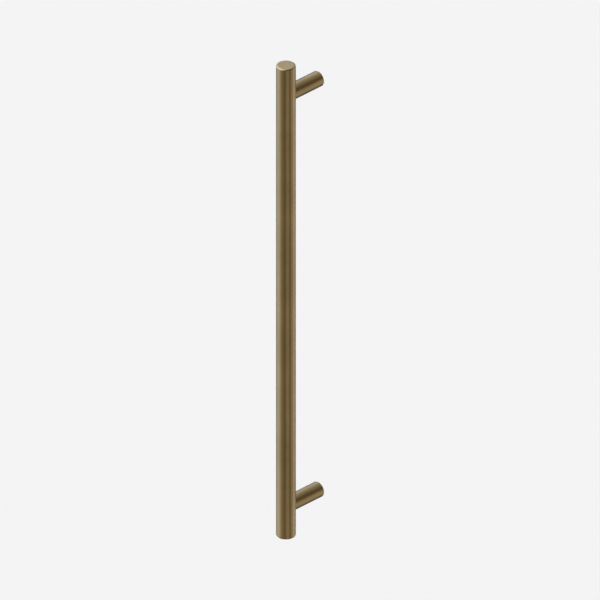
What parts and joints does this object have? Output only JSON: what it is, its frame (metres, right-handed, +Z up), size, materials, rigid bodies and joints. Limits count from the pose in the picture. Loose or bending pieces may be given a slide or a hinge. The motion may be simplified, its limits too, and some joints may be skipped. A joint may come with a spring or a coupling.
{
  "type": "door pull handle",
  "caption": "Round T-bar door pull: a long solid bar with eased ends on a pair of thinner straight posts, each coped to the bar and tapped for a fixing bolt.",
  "frame": {"origin": "on the door face, midway between the two fixing holes", "axes": "+Z up along the bar, +Y from the handle into the door, +X to the right along the door when facing it from the handle's side"},
  "size_m": [0.022, 0.062, 0.6],
  "materials": {
    "antique_brass": "brushed lengthwise, antiqued and satin",
    "stud_steel": "plain machined"
  },
  "bodies": {
    "root": {"grip_bar": "antique_brass", "upper_post": "antique_brass", "lower_post": "antique_brass", "joining_studs": "stud_steel"}
  },
  "joints": []
}
